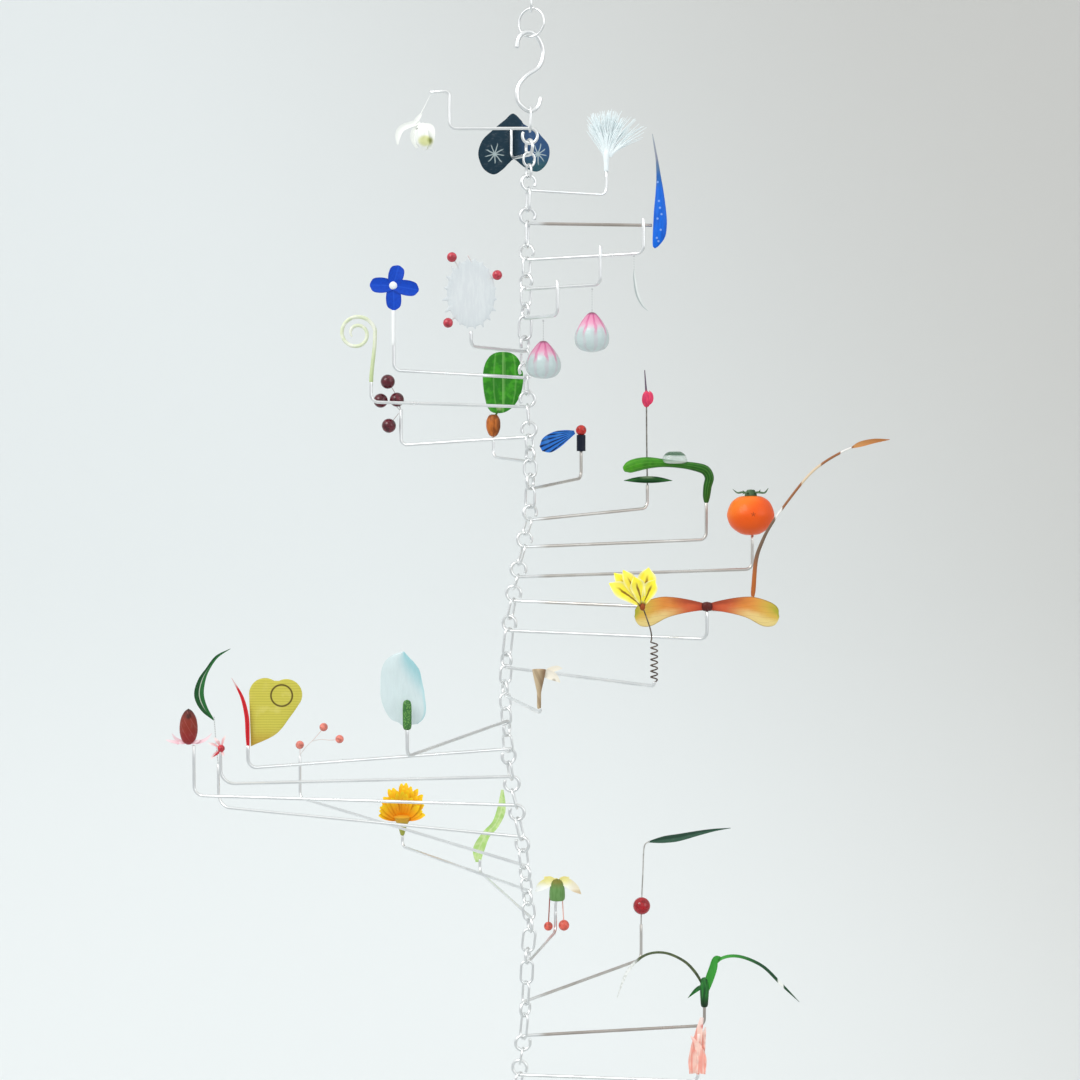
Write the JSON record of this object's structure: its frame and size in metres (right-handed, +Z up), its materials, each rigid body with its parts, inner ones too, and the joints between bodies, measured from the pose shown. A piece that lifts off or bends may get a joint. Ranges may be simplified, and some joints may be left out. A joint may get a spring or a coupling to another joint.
{
  "type": "paper mobile",
  "caption": "Hanging mobile: wire arms linked into a chain fan out in a spiral, each ending in a paper flower, leaf, pod or berry, below a ring and S-hook.",
  "frame": {"origin": "the hang point, where the inside of the top link bears on its hook", "axes": "+Z up along the hanging chain, +X to the right and +Y away as the picture looks at it"},
  "size_m": [0.3629, 0.2633, 0.5763],
  "materials": {
    "steel_wire": "bright silvery wire, softly polished",
    "white_petal": "matt white paper",
    "navy_leaf": "dark navy paper with a silky sheen",
    "blue_petal": "deep blue painted paper",
    "pink_shell": "thin translucent paper, pink fading to pale aqua",
    "mist_leaf": "pale grey-blue translucent paper",
    "green_leaf": "varnished green paper",
    "brown_seed": "varnished red-brown paper pulp",
    "orange_fruit": "smooth orange lacquer on paper pulp",
    "red_berry": "glossy red lacquer on a bead",
    "amber_wing": "stained paper, olive-yellow to red",
    "yellow_petal": "bright yellow paper",
    "sand_paper": "matt sand-coloured paper",
    "aqua_petal": "thin translucent aqua paper",
    "olive_leaf": "olive-yellow paper with fine lines",
    "coral_stem": "matt coral paper pulp"
  },
  "bodies": {
    "root": {"hanging_link": "steel_wire", "split_ring": "steel_wire", "s_hook": "steel_wire", "top_link": "steel_wire", "arm_01_snowdrop": "steel_wire", "arm_02_navy_leaf": "steel_wire", "arm_03_white_tassel": "steel_wire", "arm_04_blue_pod": "steel_wire", "arm_05_thin_leaf": "steel_wire", "arm_06_pink_bell": "steel_wire", "arm_07_small_bell": "steel_wire", "arm_08_spiny_leaf": "steel_wire", "arm_09_blue_flower": "steel_wire", "arm_10_tendril": "steel_wire", "arm_11_dark_berries": "steel_wire", "arm_12_acorn": "steel_wire", "arm_13_striped_petal": "steel_wire", "arm_14_pink_bud": "steel_wire", "arm_15_green_pod": "steel_wire", "arm_16_orange_fruit": "steel_wire", "arm_17_reed": "steel_wire", "arm_18_maple_key": "steel_wire", "arm_19_yellow_flower": "steel_wire", "arm_20_trumpet": "steel_wire", "arm_21_pale_spathe": "steel_wire", "arm_22_heart_leaf": "steel_wire", "arm_23_small_flower": "steel_wire", "arm_24_brown_bud": "steel_wire", "arm_25_crescent_leaf": "steel_wire", "arm_26_coral_berries": "steel_wire", "arm_27_yellow_aster": "steel_wire", "arm_28_wavy_leaf": "steel_wire", "arm_29_fuchsia": "steel_wire", "arm_30_red_berry": "steel_wire", "arm_31_arching_leaves": "steel_wire", "arm_32_pink_coral": "steel_wire", "arm_33_seed_head": "steel_wire", "arm_34_last_leaf": "steel_wire", "snowdrop": "white_petal", "white_tassel": "white_petal", "navy_leaf": "navy_leaf", "blue_pod": "blue_petal", "blue_flower": "blue_petal", "striped_petal": "blue_petal", "pink_bell": "pink_shell", "small_bell": "pink_shell", "spiny_leaf": "mist_leaf", "green_leaf": "green_leaf", "green_pod": "green_leaf", "fuchsia": "green_leaf", "acorn": "brown_seed", "brown_bud": "brown_seed", "orange_fruit": "orange_fruit", "maple_key": "amber_wing", "yellow_flower": "yellow_petal", "yellow_aster": "yellow_petal", "paper_trumpet": "sand_paper", "pale_spathe": "aqua_petal", "heart_leaf": "olive_leaf", "pink_coral": "coral_stem"}
  },
  "joints": []
}
